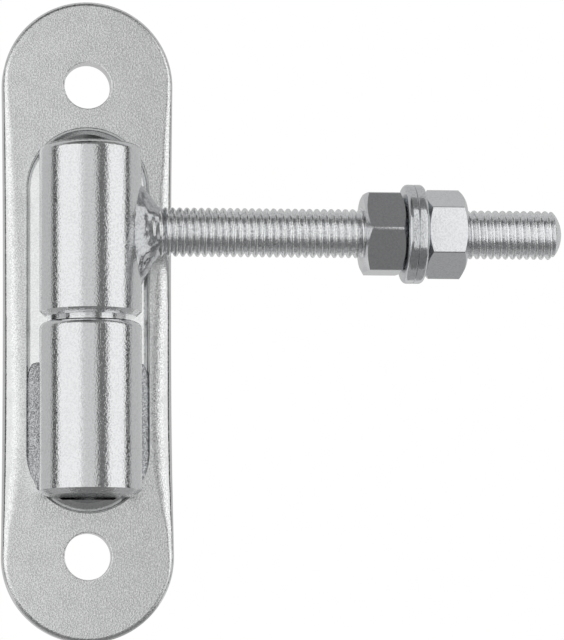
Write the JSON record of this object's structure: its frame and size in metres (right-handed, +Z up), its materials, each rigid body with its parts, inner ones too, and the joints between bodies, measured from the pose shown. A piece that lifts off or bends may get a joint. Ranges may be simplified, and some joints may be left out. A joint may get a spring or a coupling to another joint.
{
  "type": "adjustable gate hinge with hinge pin",
  "caption": "Screw-on plate with a barrel hinge whose upper knuckle turns on a pin and carries a threaded stud, nuts and washers for a gate frame.",
  "frame": {"origin": "on the plate's flat back, midway between its two screw holes", "axes": "+Z up along the hinge pin, +X along the threaded stud, +Y into the post that the plate is screwed to"},
  "size_m": [0.1353, 0.0261, 0.156],
  "materials": {
    "plate_zinc": "bright zinc plating over pressed steel, finely sandy",
    "barrel_zinc": "bright zinc plating over turned steel, smooth",
    "weld_zinc": "bright zinc plating over rippled weld metal, glossy",
    "pin_steel": "ground steel, greased",
    "ring_zinc": "bright zinc plating over turned steel",
    "stud_zinc": "bright zinc plating over a rolled thread",
    "nut_zinc": "bright zinc plating over cold-formed steel",
    "washer_zinc": "bright zinc plating over punched steel"
  },
  "bodies": {
    "plate": {"back_plate": "plate_zinc", "lower_knuckle": "barrel_zinc", "seat_weld_left": "weld_zinc", "seat_weld_right": "weld_zinc", "hinge_pin": "pin_steel"},
    "ring": {"bearing_ring": "ring_zinc"},
    "leaf": {"upper_knuckle": "barrel_zinc", "threaded_stud": "stud_zinc", "stud_weld": "weld_zinc"},
    "washer_inner": {"inner_washer": "washer_zinc"},
    "nut_inner": {"inner_nut": "nut_zinc"},
    "washer_outer": {"outer_washer": "washer_zinc"},
    "nut_outer": {"outer_nut": "nut_zinc"}
  },
  "joints": [
    {"name": "leaf_swing", "type": "hinge", "parent": "plate", "child": "ring", "pos_m": [0, -0.01385, 0], "axis": [0, 0, 1], "range_deg": [-181, 1]},
    {"name": "leaf_lift", "type": "slide", "parent": "ring", "child": "leaf", "axis": [0, 0, 1], "range_m": [0, 0.003]},
    {"name": "inner_washer_travel", "type": "slide", "parent": "leaf", "child": "washer_inner", "axis": [1, 0, 0], "range_m": [-0.0438, 0]},
    {"name": "inner_nut_turn", "type": "hinge", "parent": "washer_inner", "child": "nut_inner", "pos_m": [0.07, -0.01385, 0.02025], "axis": [1, 0, 0], "range_deg": [-9000, 0]},
    {"name": "outer_washer_travel", "type": "slide", "parent": "leaf", "child": "washer_outer", "axis": [1, 0, 0], "range_m": [0, 0.0211]},
    {"name": "outer_nut_turn", "type": "hinge", "parent": "washer_outer", "child": "nut_outer", "pos_m": [0.085, -0.01385, 0.02025], "axis": [1, 0, 0], "range_deg": [0, 4320]}
  ],
  "couplings": [
    {"joint": "inner_washer_travel", "follows": "inner_nut_turn", "m_per_rad": 0.00027852},
    {"joint": "outer_washer_travel", "follows": "outer_nut_turn", "m_per_rad": 0.00027852}
  ]
}
